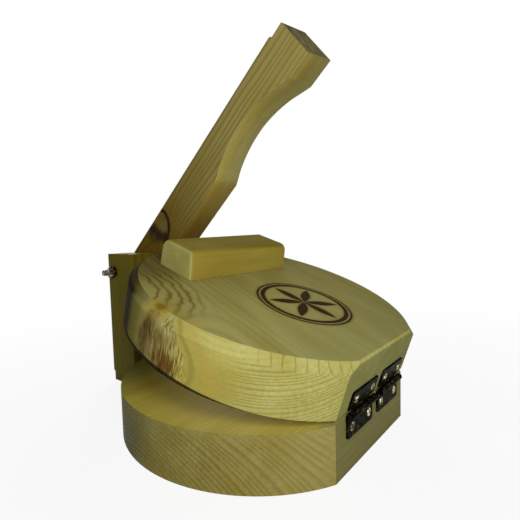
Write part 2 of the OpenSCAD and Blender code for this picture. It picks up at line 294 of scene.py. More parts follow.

# %% [markdown]
# ## The base board
# A plank of pine whose fibre runs across the press, parallel to the hinges. Its
# pith lay under the plank, so the ends of the rings climb in slanting lines round
# the front, and run level on the hinge face. The inner face is paler, partly clean
# wood and partly painted light against the shadow of the lid. Its part toward the
# lever and the sides on that half are darker, as painted shade, and the hinge face
# is cooler.

# %% Pine for the base
base_pine = pine("sanded_pine_base", (0, 0, 0), (0, 1, 0), (0, 0, 1), pith=(15, -53), ring=3.1,
    early="#afa563", late="#655b25", bands=0.62, wander=2.5,
    faint=[((0, 0, 38.1), (1 / 300, 1 / 300, 1 / 5), 0.85),
        ((0, -105, 24), (1 / 300, 1 / 4, 1 / 40), 0.85)])
base = base_pine["tree"]
outward, _, upward = add(base, "SeparateXYZ", base_pine["normal"]).node.outputs
base_x = add(base, "SeparateXYZ", base_pine["place"])
# painted light, with clean wood: the inner face is paler, against the lid's shadow
clean_and_lit_top = add(base, "MapRange", upward, 0.8, 0.98, 0.0, 0.9)
clean_and_lit_top = narrow(base, clean_and_lit_top, (base_x, 102 * MM, 95 * MM))
base_pine["colour"] = add(base, "Mix", clean_and_lit_top, base_pine["colour"], paint("#dac959"), **COVER)
# painted shade: the inner face is darker and cooler toward the lever
shaded_top_by_lever = add(base, "MapRange", base_x, -20 * MM, -105 * MM, **SOFT)
shaded_top_by_lever = narrow(base, shaded_top_by_lever, (upward, 0.5, 0.8))
hinged = add(base, "MapRange", outward, 0.9, 0.99)
# painted shade: the sides on the lever's half are darker and cooler
shaded_sides_by_lever = add(base, "MapRange", base_x, 15 * MM, -40 * MM, **SOFT)
shaded_sides_by_lever = narrow(base, shaded_sides_by_lever, (upward, 0.8, 0.5))
base_pine["tints"] = [(shaded_top_by_lever, "#a7b1bd"), (hinged, "#c9cdd2"), (shaded_sides_by_lever, "#b9c3ea")]
dress("base_board", finish_pine(base_pine, relief=0.8))
print("base board: fibre across the press")

# %% [markdown]
# ## The lid board
# The fibre of the lid runs from the lever to the hinges. Its pith lay above the
# rim on the near side, where a branch left the trunk: the rings close around
# that knot in long hairpins, and the round rim cuts the knot open from top to
# bottom. The branch pulls the rings along, so the knot adds to their radius.

# %% Pine for the lid
lid_pine = pine("sanded_pine_lid", LID_MIDDLE, OPEN.to_3x3() @ Vector((0.985, -0.17, 0)), LID_UP,
    pith=(-104, 77), ring=2.8, early="#dfd984", late="#8b803e", bands=0.75, wander=1.6, tighten=0.0002,
    knots=[((18, -100, 0), (1 / 28, 1 / 20, 0), 4.6)],
    faint=[((60, 20, 0), (1 / 100, 1 / 85, 1 / 5), 0.93), ((85, -45, 0), (1 / 60, 1 / 50, 1 / 5), 0.8),
        ((37, -110, -19), (1 / 36, 1 / 30, 1 / 26), 0.97), ((-30, -112, -19), (1 / 44, 1 / 30, 1 / 26), 0.95),
        ((-12, -97, 0), (1 / 44, 1 / 30, 1 / 8), 0.97)])
lid = lid_pine["tree"]
# Places on the shut lid, in millimetres from the middle of its top
flat = add(lid, "Mapping", lid_pine["place"], Location=LID_MIDDLE, Rotation=(0, LID_OPEN, 0),
    Scale=(MM, MM, MM), vector_type="TEXTURE")
lid_x, lid_y, lid_z = add(lid, "SeparateXYZ", flat).node.outputs
slope = add(lid, "VectorMath", lid_pine["normal"], LID_UP, operation="DOT_PRODUCT")
tilt = add(lid, "Math", slope, operation="ABSOLUTE")
rim = add(lid, "MapRange", tilt, 0.6, 0.3)
steep = add(lid, "MapRange", tilt, 0.98, 0.8)
print("lid board: fibre from the lever to the hinges")

# %% [markdown]
# ## Painted shade on the lid
# The flat top is darker with painted shade, most of all near the lever, and it is
# cooler toward the hinges, like their face. Beside the branch the rim is one smooth
# golden face without lines. Its rim and bevel on the near side, left of the knot,
# are darker with painted shade, and most of all beside the posts.

# %% Tints of the lid, most of them painted shade
golden = add(lid, "MapRange", lid_x, 66.0, 50.0, 0.0, 0.85, **SOFT)
golden = add(lid, "Math", golden, rim, operation="MULTIPLY")
lid_pine["colour"] = add(lid, "Mix", golden, lid_pine["colour"], paint("#d8d07c"), **COVER)
by_lever = add(lid, "VectorMath", flat, (-100.0, -80.0, 0.0), operation="DISTANCE")
hinge_face = add(lid, "VectorMath", lid_pine["normal"], OPEN.to_3x3() @ Vector((1, 0, 0)),
    operation="DOT_PRODUCT")
lid_pine["tints"] = [
    # painted shade: the flat top is darker
    (add(lid, "MapRange", slope, 0.9, 0.99), "#dddbdc"),
    # painted shade near the lever and the posts
    (add(lid, "MapRange", by_lever, 85.0, 20.0, **SOFT), "#d6cbb4"),
    (add(lid, "MapRange", lid_x, 20.0, 105.0, **SOFT), "#eef2fb"),
    (add(lid, "MapRange", hinge_face, 0.9, 0.99), "#ccd2de"),
    # painted shade over the lid left of the knot
    (add(lid, "MapRange", lid_x, -20.0, -80.0, **SOFT), "#cdc9cc"),
    (narrow(lid, rim, (lid_x, 75.0, 45.0), **SOFT), "#fffbe2"),
    # painted shade: the rim and bevel on the left, in three steps
    (narrow(lid, steep, (lid_x, -26.0, -54.0), **SOFT), "#a8a070"),
    (narrow(lid, steep, (lid_x, -6.0, -28.0), (lid_y, -10.0, -70.0), **SOFT), "#b0afae"),
    (narrow(lid, steep, (lid_x, -62.0, -92.0), **SOFT), "#b9a874"),
]
print("tints of the lid:", len(lid_pine["tints"]))

# %% [markdown]
# ## Hairpins round the branch
# Round the branch the rings come up through the flat top as nested hairpins,
# about 6 mm apart. Each is an oval round a point beyond the rim, longer along the
# fibre, so the distance to that point, cut into equal steps, draws them all.

# %% Rings round the branch
LONGER, APART = 1.55, 6.3
bend = add(lid, "TexNoise", flat, Scale=0.08, Detail=2.5)
nest = add(lid, "VectorMath", flat, (1 / LONGER, 1.0, 0.0), (60 / LONGER, 125.0, 0.0),
    operation="MULTIPLY_ADD")
nest = add(lid, "VectorMath", nest, operation="LENGTH")
nest = add(lid, "Math", bend, 7.0, nest, operation="MULTIPLY_ADD")
hairpin = add(lid, "Math", nest, 1 / APART, -0.05, operation="MULTIPLY_ADD")
hairpin = add(lid, "Math", hairpin, operation="FRACT")
hairpin = add(lid, "ValToRGB", hairpin,
    stops=[(0.0, 0.0), (0.3, 0.12), (0.52, 0.9), (0.62, 1.0), (0.8, 0.15), (1.0, 0.0)])
hairpin = narrow(lid, hairpin, (nest, 30.0, 36.0), (nest, 72.0, 52.0), (lid_x, -75.0, -50.0),
    (lid_x, 25.0, -4.0), (slope, 0.8, 0.98), **SOFT)
lid_pine["tints"].append((hairpin, "#b9ac88"))
print("hairpins every", APART, "mm")

# %% [markdown]
# ## Pale bevel
# The bevel was cut last, with a router bit, so it is cleaner and paler than the
# faces beside it, and its pale colour also holds a painted highlight, as it faces
# the lamp. The slope of the surface tells where it is: it lies between upright and
# level. Short marks cross it where harder rings came up under the cutter. They are
# spaced by the angle round the lid.

# %% The bevel of the lid
BEVEL_RADIUS, MARK_STEP = 117, 7.4
bevel = add(lid, "MapRange", slope, 0.25, 0.6, **SOFT)
bevel = narrow(lid, bevel, (slope, 0.97, 0.8), **SOFT)
ending = add(lid, "MapRange", lid_x, 100.0, 90.0, 0.15, 0.6)
onward = add(lid, "MapRange", lid_x, 20.0, 60.0, 0.45, 1.0)
ending = add(lid, "Math", ending, onward, operation="MULTIPLY")
# pale bevel: partly paler cut wood, partly a painted highlight
pale = add(lid, "Math", bevel, ending, operation="MULTIPLY")
creamy = add(lid, "Mix", onward, paint("#d6c25c"), paint("#dad27d"), **COVER)
lid_pine["colour"] = add(lid, "Mix", pale, lid_pine["colour"], creamy, **COVER)
angle = add(lid, "Math", lid_y, lid_x, operation="ARCTAN2")
waver = add(lid, "TexNoise", flat, Scale=0.06, Detail=2.0)
step = add(lid, "Math", angle, BEVEL_RADIUS / MARK_STEP, waver, operation="MULTIPLY_ADD")
step = add(lid, "Math", step, 0.5, operation="PINGPONG")
tick = add(lid, "MapRange", step, 0.12, 0.0, 0.0, 0.5, **SOFT)
tick = narrow(lid, tick, (lid_x, 56.0, 72.0))
tick = add(lid, "Math", tick, bevel, operation="MULTIPLY")
lid_pine["colour"] = add(lid, "Mix", tick, lid_pine["colour"], paint("#8f8446"), **COVER)
print("marks across the bevel every", MARK_STEP, "mm")

# %% [markdown]
# ## The torn knot
# Where the saw met the branch, the fibres tore out instead of being cut. The torn
# patch is rough, with fibres that stand upright, as they did in the branch. It is
# grey where it is dirty, brown near the bark and pale at its edge, and a spot of
# resin sits above it. The patch is bounded by a curve, x = 29 - 0.026 (z + 28)^2
# millimetres from the middle of the lid, so a few sums give its shape, and
# stretched noise gives its ragged edge. A bump gives the depth: the tear is only
# about a millimetre deep, too little to change the outline of the lid.

# %% Where the torn patch lies
stand = add(lid, "VectorMath", flat, (1 / 1.3, 1 / 6, 1 / 12), operation="MULTIPLY")
torn = add(lid, "TexNoise", stand, Scale=1.0, Detail=4.0, Roughness=0.65, Distortion=0.8)
rough = add(lid, "TexNoise", flat, Scale=0.11, Detail=3.0)
lower = add(lid, "Math", lid_z, 28.0, operation="ADD")
curve = add(lid, "Math", lower, lower, operation="MULTIPLY")
bound = add(lid, "Math", curve, -0.026, 29.0, operation="MULTIPLY_ADD")
inside = add(lid, "Math", bound, lid_x, operation="SUBTRACT")
ragged = add(lid, "Math", torn, 9.0, -12.5, operation="MULTIPLY_ADD")
ragged = add(lid, "Math", rough, 16.0, ragged, operation="MULTIPLY_ADD")
on_rim = add(lid, "MapRange", lid_y, -98.0, -104.0)
lean = add(lid, "MapRange", lid_z, -22.0, -6.0, 24.5, 16.0)
leftward = add(lid, "Math", lid_x, lean, operation="ADD")
patch = on_rim
for span, way, more, blend in [(inside, 1.0, 0.0, 3.0), (leftward, 1.0, 2.0, 11.0), (lid_z, -1.0, -1.0, 4.0)]:
    margin = add(lid, "Math", ragged, more, operation="ADD")
    margin = add(lid, "Math", span, way, margin, operation="MULTIPLY_ADD")
    patch = narrow(lid, patch, (margin, 0.0, blend), **SOFT)
print("torn patch: about 48 mm wide at the foot of the rim")

# %% The colours of the torn patch
across = add(lid, "Math", torn, 16.0, lid_x, operation="MULTIPLY_ADD")
tone = add(lid, "MapRange", across, -17.0, 39.0)
tone = add(lid, "ValToRGB", tone, stops=[(0.0, "#aca46d"), (0.14, "#958856"), (0.28, "#8f7d4b"),
    (0.42, "#c5b474"), (0.56, "#b39e5f"), (0.74, "#e3d687"), (0.95, "#f1e277")])
shred = add(lid, "ValToRGB", torn,
    stops=[(0.34, "#7d6a34"), (0.45, "#cfc59c"), (0.53, "#f4f0df"), (0.62, "#ffffff")])
# A pale fleck above, a grey one on the left and the brown bark below
for centre, scale, shade, most in [((10.0, -118.0, -5.0), (1 / 15, 1 / 30, 1 / 9), "#f2eca7", 0.8),
        ((-9.0, -118.0, -13.0), (1 / 6, 1 / 30, 1 / 9), "#826a3d", 0.7),
        ((13.0, -118.0, -30.0), (1 / 12, 1 / 30, 1 / 11), "#8c652c", 0.9)]:
    stain = distance(lid, flat, centre, scale)
    stain = add(lid, "Math", torn, 1.6, stain, operation="MULTIPLY_ADD")
    stain = add(lid, "MapRange", stain, 1.9, 1.2, 0.0, most, **SOFT)
    tone = add(lid, "Mix", stain, tone, paint(shade), **COVER)
tone = add(lid, "Mix", 0.9, tone, shred, **TINT)
depth = add(lid, "Math", torn, 20.0, -16.0, operation="MULTIPLY_ADD")
lid_pine["height"].append(add(lid, "Math", depth, patch, operation="MULTIPLY"))
# Two curved streaks follow the edge of the tear: an olive one beside it and a warm one further out
for beside, half, shade, most in [(-4.0, 4.0, "#a3973f", 0.6), (-15.0, 8.0, "#cfb455", 0.4)]:
    off = add(lid, "Math", inside, beside, operation="SUBTRACT")
    off = add(lid, "Math", off, operation="ABSOLUTE")
    streak = add(lid, "MapRange", off, half, 0.0, 0.0, most, **SOFT)
    lid_pine["marks"].append((add(lid, "Math", streak, on_rim, operation="MULTIPLY"), shade))
lid_pine["marks"].append((patch, tone))
print("torn patch has grey, brown and pale fibres")

# %% [markdown]
# ## Resin and painted shadow lines
# A drop of resin sits over the tear in a warm glow. The lower arris of the lid is
# black toward the lever, with a painted shadow line, and a dark painted shadow
# line runs along the outermost edge of the rim and the bevel beside the posts.

# %% Resin and painted shadow lines on the lid
drop = distance(lid, flat, (-6.0, -113.0, 0.0), (0.8, 0.9, 1.0))
drop = add(lid, "Math", drop, -4.5, operation="ADD")
drop = add(lid, "Math", rough, 9.0, drop, operation="MULTIPLY_ADD")
for outer, heart, shade, most in [(14.0, 1.0, "#bda338", 0.65), (5.6, 0.2, "#8d6a1a", 0.9)]:
    lid_pine["marks"].append((add(lid, "MapRange", drop, outer, heart, 0.0, most, **SOFT), shade))
# painted shadow: a black line along the lower arris, widest toward the lever
arris_shadow_line = add(lid, "MapRange", lid_x, 80.0, 15.0, -38.4, -35.2)
arris_shadow_line = add(lid, "Math", arris_shadow_line, lid_z, operation="SUBTRACT")
arris_shadow_line = add(lid, "MapRange", arris_shadow_line, -0.4, 0.5, 0.0, 0.93, **SOFT)
lid_pine["marks"].append((add(lid, "Math", arris_shadow_line, steep, operation="MULTIPLY"), "#171004"))
# painted shadow: a dark line along the outermost edge of the rim and bevel beside the posts
edge = distance(lid, flat, (0.0, 0.0, 0.0), (1.0, 1.0, 0.0))
edge = add(lid, "MapRange", edge, 115.6, 117.4, 0.0, 0.95, **SOFT)
edge = narrow(lid, edge, (lid_x, -34.0, -46.0), (lid_y, -20.0, -50.0), **SOFT)
lid_pine["marks"].append((edge, "#1c1608"))
print("marks on the lid so far:", len(lid_pine["marks"]))

# %% [markdown]
# ## A burnt ornament
# A hot iron leaves dark lines with a scorched edge. The ornament is a six-petal
# rosette in two rings, the oldest pattern that a pair of compasses draws. Each
# petal is where two circles overlap. Folding the angle makes all six petals one,
# so a single distance draws them all.

# %% Rosette burnt into the lid
ROSETTE_X, PETAL = 31.0, 31.0
RINGS = [(PETAL + 3.6, 1.7), (PETAL + 7.8, 0.8)]
ray = distance(lid, flat, (ROSETTE_X, 0.0, 0.0), (1.0, 1.0, 0.0))
fold = add(lid, "Math", lid_x, ROSETTE_X, operation="SUBTRACT")
fold = add(lid, "Math", lid_y, fold, operation="ARCTAN2")
fold = add(lid, "Math", fold, math.pi / 6, operation="PINGPONG")
folded = add(lid, "CombineXYZ", add(lid, "Math", fold, operation="COSINE"),
    add(lid, "Math", fold, operation="SINE"))
folded = add(lid, "VectorMath", folded, Scale=ray, operation="SCALE")
reach = add(lid, "VectorMath", folded, (PETAL / 2, -0.866 * PETAL, 0), operation="DISTANCE")
burnt = add(lid, "Math", PETAL - 0.3, reach, operation="SUBTRACT")
for radius, half in RINGS:
    gap = add(lid, "Math", ray, radius, operation="SUBTRACT")
    gap = add(lid, "Math", gap, operation="ABSOLUTE")
    line = add(lid, "Math", half, gap, operation="SUBTRACT")
    burnt = add(lid, "Math", burnt, line, operation="MAXIMUM")
smoke = add(lid, "TexNoise", flat, Scale=0.55, Detail=3.0)
smoke = add(lid, "Math", smoke, 1.6, -0.8, operation="MULTIPLY_ADD")
burnt = add(lid, "Math", smoke, burnt, operation="ADD")
on_top = add(lid, "Math", lid_z, -1.0, operation="GREATER_THAN")
for outer, full, shade, most in [(-3.0, 0.6, "#7f6a28", 0.6), (-0.5, 0.4, "#2a1c02", 0.98)]:
    scorch = add(lid, "MapRange", burnt, outer, full, 0.0, most, **SOFT)
    scorch = add(lid, "Math", scorch, on_top, operation="MULTIPLY")
    lid_pine["marks"].append((scorch, shade))
lid_pine["height"].append(add(lid, "Math", scorch, -3.0, operation="MULTIPLY"))
dress("lid_board", finish_pine(lid_pine, rough=0.85))
print("rosette of six petals,", round(2 * sum(RINGS[-1]), 1), "mm across")

# %% [markdown]
# ## The posts
# The posts stand with their fibre upright. Their pine is dark, with painted shade.
# The faces away from the lid and from the hands are paler, with less of it.

# %% Pine for the posts
for node, pith in [("near_post", (48, 20)), ("far_post", (-42, 30))]:
    post_pine = pine("sawn_pine_" + node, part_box(node)[0], (0, 0, 1), (0, -1, 0), pith=pith, ring=3.4,
        early="#827722", late="#585011", bands=0.6)
    post = post_pine["tree"]
    # painted shade: the pine is dark; faces toward -x and +y are mixed paler, with less of that shade
    outer = add(post, "VectorMath", post_pine["normal"], (-0.7, 0.7, 0.0), operation="DOT_PRODUCT")
    outer = add(post, "MapRange", outer, 0.3, 0.6, 0.0, 0.5)
    post_pine["colour"] = add(post, "Mix", outer, post_pine["colour"], paint("#b0a36c"), **COVER)
    dress(node, finish_pine(post_pine, relief=1.4))
    print(node, "has its fibre upright")

# %% [markdown]
# ## The press block
# The block is a short length of the same pine with its fibre across the press.
# Its ends are paler, and its top is cool toward the near side and warmer past the
# lever.

# %% Pine for the press block
block_pine = pine("sanded_pine_block", OPEN @ (LID_TOP + Vector((-0.0577, 0, 0))), (0, 1, 0), LID_UP,
    pith=(70, -60), ring=6.0, early="#bca94a", late="#a79138", bands=0.25)
block = block_pine["tree"]
ends = add(block, "VectorMath", block_pine["normal"], (0, 1, 0), operation="DOT_PRODUCT")
ends = add(block, "Math", ends, operation="ABSOLUTE")
ends = add(block, "MapRange", ends, 0.5, 0.9, 0.0, 0.9, **SOFT)
block_pine["colour"] = add(block, "Mix", ends, block_pine["colour"], paint("#dbda8c"), **COVER)
level = add(block, "VectorMath", block_pine["normal"], LID_UP, operation="DOT_PRODUCT")
level = add(block, "MapRange", level, 0.5, 0.95, **SOFT)
_, block_y, _ = add(block, "SeparateXYZ", block_pine["place"]).node.outputs
beyond = narrow(block, level, (block_y, -45 * MM, -5 * MM), **SOFT)
block_pine["tints"] = [(level, "#e9edff"), (beyond, "#e5e7b1")]
rounded_pine = finish_pine(block_pine, end="#f6f2e0", rough=0.85, streaks=0.25)
print("press block: fibre across the press")

# %% [markdown]
# ## Forms built from rows of points
# The remaining pieces are drawn point by point. A row of points goes round the
# piece, the next row lies a little further on, and faces join the two. Every such
# piece then becomes an object with a material of its own, which rides on a body
# and takes the place of a plain solid.

# %% Two helpers for such forms
def skin(form, rows):
    """Joins rows of points into one closed skin, with a face over the first row and the last."""
    rings = [[form.verts.new(point) for point in row] for row in rows]
    for low, high in zip(rings, rings[1:]):
        for i in range(len(low)):
            k = (i + 1) % len(low)
            form.faces.new((low[i], low[k], high[k], high[i]))
    form.faces.new(rings[0][::-1])
    form.faces.new(rings[-1])


def settle(form, name, material, body, instead):
    """Makes a form a piece on a body, in place of a node."""
    bmesh.ops.recalc_face_normals(form, faces=form.faces)
    mesh = bpy.data.meshes.new(name)
    form.to_mesh(mesh)
    form.free()
    mesh.materials.append(material)
    piece = bpy.data.objects.new(name, mesh)
    bpy.context.scene.collection.objects.link(piece)
    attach(piece, body)
    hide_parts(instead)
    return piece


print("a form is a skin over rows of points")

# %% [markdown]
# ## The shape of the press block
# The block was rounded by hand, so its arrises are uneven: the back one, where
# the lever lands, is cut well back at the near end and fades to almost nothing at
# the far one, and the front one does the opposite. A row of slices across the
# block gives that, each slice with its own two curves, and the slices shrink
# toward both ends to round the upright corners. Sizes are in millimetres.

# %% Press block
NEAR, FAR, DEEP, TALL = -64.4, 60.5, 38.1, 23.8
MIDDLE, LEAN, CORNER, SHARPEST = -58.7, 4.2, 2.8, 0.3
turns = [math.pi / 12 * i for i in range(6)]
slices = [(NEAR + CORNER * (1 - math.cos(a)), CORNER * (1 - math.sin(a))) for a in turns]
slices += [(NEAR + CORNER + (FAR - NEAR - 2 * CORNER) * i / 10, 0.0) for i in range(11)]
slices += [(FAR - CORNER * (1 - math.cos(a)), CORNER * (1 - math.sin(a))) for a in turns[::-1]]
quarter = [math.pi / 16 * i for i in range(9)]
rows = []
for along, inset in slices:
    share = (along - NEAR) / (FAR - NEAR)
    rear, fore = max(9.0 - 6.5 * share - inset, SHARPEST), max(4.4 + 1.6 * share - inset, SHARPEST)
    crown = TALL - 0.6 * (1 - share) - inset
    back, front = inset - DEEP / 2, DEEP / 2 - inset
    points = [(back, 0.0)]
    points += [(back + rear * (1 - math.cos(a)), crown - rear * (1 - math.sin(a))) for a in quarter]
    for a in quarter:
        high = crown - fore * (1 - math.cos(a))
        points.append((front - fore * (1 - math.sin(a)) + LEAN * (1 - high / TALL), high))
    points.append((front + LEAN, 0.0))
    rows.append([OPEN @ (Vector((across + MIDDLE, along, high)) * MM + LID_TOP) for across, high in points])
form = bmesh.new()
skin(form, rows)
rounded_block = settle(form, "rounded_block", rounded_pine, "lid", "press_block")
sand(rounded_block, 0.4)
print("press block:", len(slices), "slices")

# %% [markdown]
# ## The lever
# Its fibre runs along it, with one dark knot near its lower end, where the rings
# close round in a dark curved line. The lever has been held for years at the
# scoop: its underside is worn smooth and is also painted paler, as painted light,
# since it faces down. The arris along the scoop is rubbed pale and carries a
# painted highlight.

# %% Pine for the lever
LEVER_TILT = math.radians(40.2)
LEVER_ALONG = Vector((math.cos(LEVER_TILT), 0, math.sin(LEVER_TILT)))
LEVER_UP = Vector((-math.sin(LEVER_TILT), 0, math.cos(LEVER_TILT)))
lever_pine = pine("sanded_pine_lever", LEVER_PIN, LEVER_ALONG, (0, -1, 0),
    pith=(78, -6), ring=5.2, early="#bfb067", late="#85773a", bands=0.66, wander=8.0,
    knots=[((63, 2, 0), (1 / 26, 1 / 12, 0), -15)])
arm = lever_pine["tree"]
# Places on the lever, in millimetres from its bolt: along it, across it and out of its back
held = add(arm, "Mapping", lever_pine["place"], Location=LEVER_PIN, Rotation=(0, -LEVER_TILT, 0),
    Scale=(MM, MM, MM), vector_type="TEXTURE")
arm_x, arm_y, arm_z = add(arm, "SeparateXYZ", held).node.outputs
print("lever leans by", round(math.degrees(LEVER_TILT), 1), "degrees")

# %% [markdown]
# ## Wear and painted light on the lever
# The underside is striped beside the near arris, and greyer toward the far one, and
# all of it is painted paler, as painted light. The arris beside it carries a
# painted highlight. The flat part under the scoop is dirty toward the block, the
# foot is darker between the posts with painted shade, and a thin line of painted
# shade follows the back arris.

# %% Wear and painted light of the lever
below = add(arm, "VectorMath", lever_pine["normal"], -LEVER_UP, operation="DOT_PRODUCT")
stripes = add(arm, "VectorMath", held, (1 / 90, 1 / 7, 0), operation="MULTIPLY")
stripes = add(arm, "TexNoise", stripes, Scale=1.0, Detail=2.0)
worn = add(arm, "Math", arm_y, -9.0, operation="ADD")
worn = add(arm, "Math", stripes, 18.0, worn, operation="MULTIPLY_ADD")
worn = add(arm, "MapRange", worn, -14.0, 14.0)
worn = add(arm, "ValToRGB", worn,
    stops=[(0.0, "#cfc070"), (0.25, "#c3b35e"), (0.45, "#b5a85f"), (0.65, "#bab272"), (1.0, "#b4ae78")])
# painted light, over real stripes: the underside, which faces down, is paler
facing_down = add(arm, "MapRange", below, 0.35, 0.75, 0.0, 0.92, **SOFT)
lever_pine["colour"] = add(arm, "Mix", facing_down, lever_pine["colour"], worn, **COVER)
# the near arris is rubbed pale and carries a painted highlight
rubbed = add(arm, "MapRange", below, 0.92, 0.6, 0.0, 0.42, **SOFT)
rubbed = narrow(arm, rubbed, (below, 0.12, 0.4), **SOFT)
lever_pine["marks"].append((rubbed, "#d6cb80"))
# painted shade: the foot between the posts is darker
foot = add(arm, "MapRange", arm_x, 170.0, 45.0, **SOFT)
lever_pine["tints"] = [(narrow(arm, facing_down, (arm_x, 156.0, 148.0)), "#fff3d2"), (foot, "#bfa450"),
    (narrow(arm, facing_down, (arm_x, 254.0, 266.0)), "#dcdacf")]
# the underside and its arris are also painted paler, as painted light
print("worn faces look down, the arris beside them is rubbed pale")

# %% [markdown]
# ## The knot and the sawn end of the lever
# The knot is brown toward the back and paler in the middle, with a dark ring of
# bark round it. Each spot is a distance from a centre, made uneven by noise. The
# sawn upper end is darker than the sides, with streaks across it.

# %% Knot and sawn end
gnarl = add(arm, "TexNoise", held, Scale=0.13, Detail=3.0)
for along, out, radius, half, start, shade, most in [(50.0, 8.0, 0.0, 14.0, 0.0, "#4a370f", 0.7),
        (68.0, 4.0, 0.0, 10.0, 0.0, "#847a46", 0.8), (63.0, 9.5, 17.5, 3.0, 60.0, "#160d03", 0.95),
        (53.0, 14.0, 0.0, 10.0, 0.0, "#241806", 0.9), (56.5, 2.0, 0.0, 10.0, 0.0, "#241806", 0.9),
        (63.0, -7.0, 0.0, 9.0, 0.0, "#180e04", 0.9)]:
    away = distance(arm, held, (along, 0.0, out), (1.0, 0.0, 1.0))
    away = add(arm, "Math", away, -radius - 2.5, operation="ADD")
    away = add(arm, "Math", gnarl, 5.0, away, operation="MULTIPLY_ADD")
    away = add(arm, "Math", away, operation="ABSOLUTE")
    dark = add(arm, "MapRange", away, half, 0.3 * half, 0.0, most, **SOFT)
    lever_pine["marks"].append((narrow(arm, dark, (arm_x, start, start + 9.0)), shade))
streaks = add(arm, "VectorMath", held, (0.1, 0.35, 0.12), operation="MULTIPLY")
streaks = add(arm, "TexNoise", streaks, Scale=1.0, Detail=3.0)
streaks = add(arm, "ValToRGB", streaks, stops=[(0.38, "#241e0c"), (0.5, "#4b4418"), (0.62, "#6f6732")])
sawn = add(arm, "VectorMath", lever_pine["normal"], LEVER_ALONG, operation="DOT_PRODUCT")
sawn = add(arm, "MapRange", sawn, 0.85, 0.98, 0.0, 0.9)
at_end = add(arm, "Math", arm_x, 280.0, operation="GREATER_THAN")
lever_pine["marks"].append((add(arm, "Math", sawn, at_end, operation="MULTIPLY"), streaks))
# painted shade: a thin dark line along the rounded back arris
arris = add(arm, "MapRange", arm_z, 17.9, 18.7, 0.0, 0.75)
before_end = add(arm, "Math", arm_x, 270.0, operation="LESS_THAN")
lever_pine["marks"].append((add(arm, "Math", arris, before_end, operation="MULTIPLY"), "#5a4f26"))
worn_pine = finish_pine(lever_pine, relief=1.2)
print("wooden materials done:", len([m for m in bpy.data.materials if "pine" in m.name]))

# %% [markdown]
# ## The shape of the lever
# The lever was sawn from a bar and then held for years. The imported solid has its
# straight faces and one round scoop. The real scoop is shallower and runs out
# more slowly, the bar grows a little deeper toward its foot, and its upper end
# was sawn slightly out of square. A closed outline, pushed across the width of
# the bar, gives all of that. The hole for the bolt stays where it is, and the
# corner under the scoop stays where the rim of the lid swings past it.

# %% Outline of the lever
HIGH, WIDE, FOOT, TOP_END, STEP_LONG, STEP_DEEP, BORE = 19.05, 28.6, -19.0, 286.0, 14, 2.3, 3.235
UNDER_FOOT, UNDER_GRIP = -21.2, -20.4
SCOOP = [(152.5, -19.05), (157.5, -16.9), (164.5, -13.4), (172, -10.6), (180, -8.3), (188, -6.6),
    (196, -5.5), (205, -4.9), (214, -5.1), (223.6, -6.4), (233.5, -8.6), (244, -12.0), (256, -17.4),
    (263, UNDER_GRIP)]


def smooth_curve(p, q, r, s, share):
    """A place between q and r on the curve through all four (Catmull and Rom's rule)."""
    return 0.5 * (2 * q + (r - p) * share + (2 * p - 5 * q + 4 * r - s) * share ** 2
        + (3 * q - p - 3 * r + s) * share ** 3)


outline = [(FOOT, HIGH), (FOOT, UNDER_FOOT), (70.0, UNDER_FOOT)]
for four in zip(SCOOP[:1] + SCOOP, SCOOP, SCOOP[1:], SCOOP[2:] + SCOOP[-1:]):
    for share in (0.0, 0.25, 0.5, 0.75):
        outline.append(tuple(smooth_curve(*numbers, share) for numbers in zip(*four)))
outline += [SCOOP[-1], (TOP_END, UNDER_GRIP), (TOP_END, HIGH - STEP_DEEP),
    (TOP_END - STEP_LONG, HIGH - STEP_DEEP), (TOP_END - STEP_LONG - STEP_DEEP / 2, HIGH)]
circle = [2 * math.pi * i / 48 for i in range(48)]
bore = [(BORE * math.cos(a), BORE * math.sin(a)) for a in circle]
print("lever:", len(outline), "corners round its outline")

# %% Lever
form = bmesh.new()
sides = []
for across in (-WIDE / 2, WIDE / 2):
    loops = []
    for points in (outline, bore):
        corners = []
        for along, out in points:
            # The upper end leans: the near side and the underside are a little shorter
            cut = 0.13 * across + 0.03 * out - 0.6 if along > TOP_END - 0.1 else 0.0
            spot = (along + cut) * LEVER_ALONG + out * LEVER_UP + Vector((0, across, 0))
            corners.append(form.verts.new(LEVER_PIN + spot * MM))
        loops.append(corners)
    sides.append(loops)
for near_loop, far_loop in zip(*sides):
    for i in range(len(near_loop)):
        k = (i + 1) % len(near_loop)
        form.faces.new((near_loop[i], near_loop[k], far_loop[k], far_loop[i]))
for loops in sides:
    rims = [form.edges.get((loop[i], loop[(i + 1) % len(loop)])) for loop in loops for i in range(len(loop))]
    bmesh.ops.triangle_fill(form, edges=rims, use_beauty=True)
open_edges = sum(1 for edge in form.edges if len(edge.link_faces) != 2)
lever = settle(form, "worn_lever", worn_pine, "lever", "lever")
sand(lever, 1.3)
print("lever:", open_edges, "open edges")

# %% [markdown]
# ## Metal
# The hinges are steel with a dark bronze finish. The bolt and its nut are steel
# plated with zinc, and the screws are steel whose finish has worn bright. Such
# finishes are thin, so the metal under them gives the gloss, and fingerprints and
# fine scratches only change how blurred it is. A cloud in the colour is about two
# millimetres wide, and the brightest patches of each finish are partly worn metal
# and partly painted glints.

